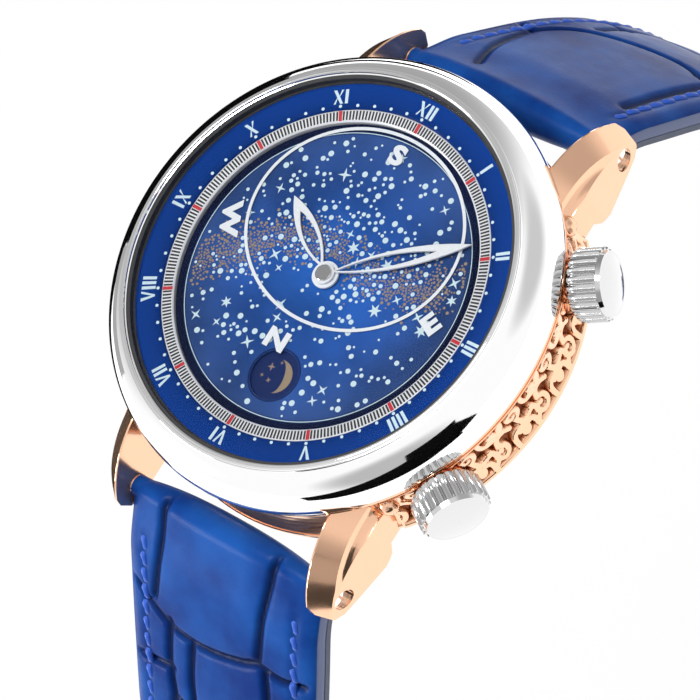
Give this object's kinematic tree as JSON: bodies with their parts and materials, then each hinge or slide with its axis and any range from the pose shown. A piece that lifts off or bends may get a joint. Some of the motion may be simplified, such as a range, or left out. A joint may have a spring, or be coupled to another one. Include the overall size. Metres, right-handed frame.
{
  "type": "mechanical wristwatch",
  "caption": "Round mechanical wristwatch on a padded leather strap, with a turning star disc, two fluted crowns, drilled lugs, a display back and a pin buckle.",
  "frame": {"origin": "centre of the case back's outer face, on the dial's axis", "axes": "+Z out of the dial, +Y to 12 o'clock, +X to 3 o'clock and the crowns"},
  "size_m": [0.0436, 0.0854, 0.1261],
  "materials": {
    "rose_gold": "polished rose gold",
    "steel": "polished steel",
    "plate": "striped rhodium-plated brass",
    "gilt": "gilt brass",
    "blued": "blued steel",
    "ruby": "polished ruby",
    "crystal": "clear sapphire",
    "seal": "black nitrile",
    "plastic": "moulded movement ring",
    "blue_dial": "royal blue lacquer",
    "white_dial": "silver-white track",
    "star_disc": "blue star disc",
    "moon_paint": "dark blue moon disc",
    "hand_white": "white lacquer",
    "leather": "glossy royal blue, scale-embossed",
    "lining": "smooth grey-blue lining"
  },
  "bodies": {
    "case": {"case_middle": "rose_gold", "bezel": "steel", "crystal": "crystal", "hour_ring": "blue_dial", "minute_ring": "white_dial", "dial_plate": "blue_dial", "horizon_glass": "crystal", "case_back": "steel", "back_crystal": "crystal", "seals": "seal", "movement_ring": "plastic", "crown_tubes": "steel", "lug_bars": "steel", "lug_screws": "steel", "main_plate": "plate", "barrel_bridge": "plate", "train_bridge": "plate", "balance_cock": "plate", "pallet_bridge": "plate", "bridge_screws": "blued", "jewels": "ruby", "rotor_bearing": "steel"},
    "click": {"click": "steel"},
    "barrel": {"barrel": "gilt", "mainspring": "blued"},
    "ratchet": {"barrel_arbor": "steel", "ratchet_wheel": "steel"},
    "crown_wheel": {"crown_wheel": "steel"},
    "winding_pinion": {"winding_pinion": "steel"},
    "setting_pinion": {"setting_pinion": "steel"},
    "crown_upper": {"crown_upper": "steel", "stem_upper": "steel"},
    "crown_lower": {"crown_lower": "steel", "stem_lower": "steel"},
    "minute": {"centre_wheel": "gilt", "cannon_pinion": "steel", "minute_hand": "hand_white", "hand_cap": "steel"},
    "third": {"third_wheel": "gilt"},
    "fourth": {"fourth_wheel": "gilt"},
    "escape": {"escape_wheel": "steel"},
    "pallets": {"pallet_fork": "steel"},
    "balance": {"balance_wheel": "gilt", "hairspring": "blued"},
    "rotor": {"rotor": "gilt"},
    "minute_wheel": {"minute_wheel": "gilt"},
    "hour": {"hour_wheel": "gilt", "hour_hand": "hand_white"},
    "sky_idler": {"sky_idler": "gilt"},
    "sky": {"sky_disc": "star_disc"},
    "moon": {"moon_disc": "moon_paint"},
    "strap_short": {"strap_short": "leather", "strap_short_lining": "lining", "fixed_keeper": "leather", "buckle_bar": "steel"},
    "strap_long": {"strap_long": "leather", "strap_long_lining": "lining"},
    "keeper": {"free_keeper": "leather"},
    "buckle": {"buckle_frame": "rose_gold"},
    "tongue": {"buckle_tongue": "rose_gold"}
  },
  "joints": [
    {"name": "minute_hand_turn", "type": "hinge", "parent": "case", "child": "minute", "pos_m": [0, 0, 0], "axis": [0, 0, 1], "continuous": true},
    {"name": "minute_wheel_turn", "type": "hinge", "parent": "case", "child": "minute_wheel", "pos_m": [-0.00368, 0.00309, 0], "axis": [0, 0, 1], "continuous": true},
    {"name": "hour_hand_turn", "type": "hinge", "parent": "case", "child": "hour", "pos_m": [0, 0, 0], "axis": [0, 0, 1], "continuous": true},
    {"name": "sky_idler_turn", "type": "hinge", "parent": "case", "child": "sky_idler", "pos_m": [0.00564, 0.00205, 0], "axis": [0, 0, 1], "continuous": true},
    {"name": "sky_disc_turn", "type": "hinge", "parent": "case", "child": "sky", "pos_m": [0, 0, 0], "axis": [0, 0, 1], "continuous": true},
    {"name": "moon_disc_turn", "type": "hinge", "parent": "case", "child": "moon", "pos_m": [0, 0, 0], "axis": [0, 0, 1], "continuous": true},
    {"name": "barrel_turn", "type": "hinge", "parent": "case", "child": "barrel", "pos_m": [-0.00085, 0.00589, 0], "axis": [0, 0, 1], "continuous": true},
    {"name": "third_wheel_turn", "type": "hinge", "parent": "case", "child": "third", "pos_m": [0.00247, -0.00387, 0], "axis": [0, 0, 1], "continuous": true},
    {"name": "fourth_wheel_turn", "type": "hinge", "parent": "case", "child": "fourth", "pos_m": [0.00142, -0.00808, 0], "axis": [0, 0, 1], "continuous": true},
    {"name": "escape_wheel_turn", "type": "hinge", "parent": "case", "child": "escape", "pos_m": [-0.0023, -0.00672, 0], "axis": [0, 0, 1], "continuous": true},
    {"name": "pallet_fork_rock", "type": "hinge", "parent": "case", "child": "pallets", "pos_m": [-0.00472, -0.00579, 0], "axis": [0, 0, 1], "range_deg": [-6, 6]},
    {"name": "balance_swing", "type": "hinge", "parent": "case", "child": "balance", "pos_m": [-0.0078, -0.0046, 0], "axis": [0, 0, 1], "range_deg": [-270, 270], "stiffness_Nm_per_rad": 0.0000002},
    {"name": "rotor_turn", "type": "hinge", "parent": "case", "child": "rotor", "pos_m": [0, 0, 0], "axis": [0, 0, 1], "continuous": true},
    {"name": "crown_upper_turn", "type": "hinge", "parent": "case", "child": "winding_pinion", "pos_m": [0, 0, 0.0049], "axis": [0.8788, 0.4772, 0], "continuous": true},
    {"name": "crown_wheel_turn", "type": "hinge", "parent": "case", "child": "crown_wheel", "pos_m": [0.00685, 0.00372, 0], "axis": [0, 0, 1], "continuous": true},
    {"name": "click_rock", "type": "hinge", "parent": "case", "child": "click", "pos_m": [-0.00656, 0.00919, 0], "axis": [0, 0, 1], "range_deg": [0, 12], "stiffness_Nm_per_rad": 0.000001},
    {"name": "ratchet_turn", "type": "hinge", "parent": "case", "child": "ratchet", "pos_m": [-0.00085, 0.00589, 0], "axis": [0, 0, 1], "continuous": true},
    {"name": "crown_upper_pull", "type": "slide", "parent": "winding_pinion", "child": "crown_upper", "axis": [0.8788, 0.4772, 0], "range_m": [0, 0.001]},
    {"name": "crown_lower_turn", "type": "hinge", "parent": "case", "child": "setting_pinion", "pos_m": [0, 0, 0.0049], "axis": [0.8616, -0.5075, 0], "continuous": true},
    {"name": "crown_lower_pull", "type": "slide", "parent": "setting_pinion", "child": "crown_lower", "axis": [0.8616, -0.5075, 0], "range_m": [0, 0.001]},
    {"name": "strap_short_swing", "type": "hinge", "parent": "case", "child": "strap_short", "pos_m": [0, 0.0224, 0.0008], "axis": [1, 0, 0], "range_deg": [-12, 50]},
    {"name": "strap_long_swing", "type": "hinge", "parent": "case", "child": "strap_long", "pos_m": [0, -0.0224, 0.0008], "axis": [-1, 0, 0], "range_deg": [-12, 50]},
    {"name": "keeper_slide", "type": "slide", "parent": "strap_short", "child": "keeper", "axis": [0, -0.1736, -0.9848], "range_m": [-0.008, 0.0014]},
    {"name": "buckle_frame_swing", "type": "hinge", "parent": "strap_short", "child": "buckle", "pos_m": [0, 0.0361, -0.07459], "axis": [1, 0, 0], "range_deg": [-80, 30]},
    {"name": "buckle_tongue_swing", "type": "hinge", "parent": "buckle", "child": "tongue", "pos_m": [0, 0.0361, -0.07459], "axis": [1, 0, 0], "range_deg": [0, 60]}
  ],
  "couplings": [
    {"joint": "minute_wheel_turn", "follows": "minute_hand_turn", "ratio": -0.33333},
    {"joint": "hour_hand_turn", "follows": "minute_hand_turn", "ratio": 0.083333},
    {"joint": "sky_idler_turn", "follows": "minute_hand_turn", "ratio": -0.083333},
    {"joint": "sky_disc_turn", "follows": "minute_hand_turn", "ratio": 0.041667},
    {"joint": "moon_disc_turn", "follows": "minute_hand_turn", "ratio": 0.04023},
    {"joint": "barrel_turn", "follows": "minute_hand_turn", "ratio": -0.16667},
    {"joint": "third_wheel_turn", "follows": "minute_hand_turn", "ratio": -8},
    {"joint": "fourth_wheel_turn", "follows": "minute_hand_turn", "ratio": 60},
    {"joint": "escape_wheel_turn", "follows": "minute_hand_turn", "ratio": -600},
    {"joint": "crown_wheel_turn", "follows": "crown_upper_turn", "ratio": 0.5},
    {"joint": "ratchet_turn", "follows": "crown_upper_turn", "ratio": -0.33333}
  ]
}
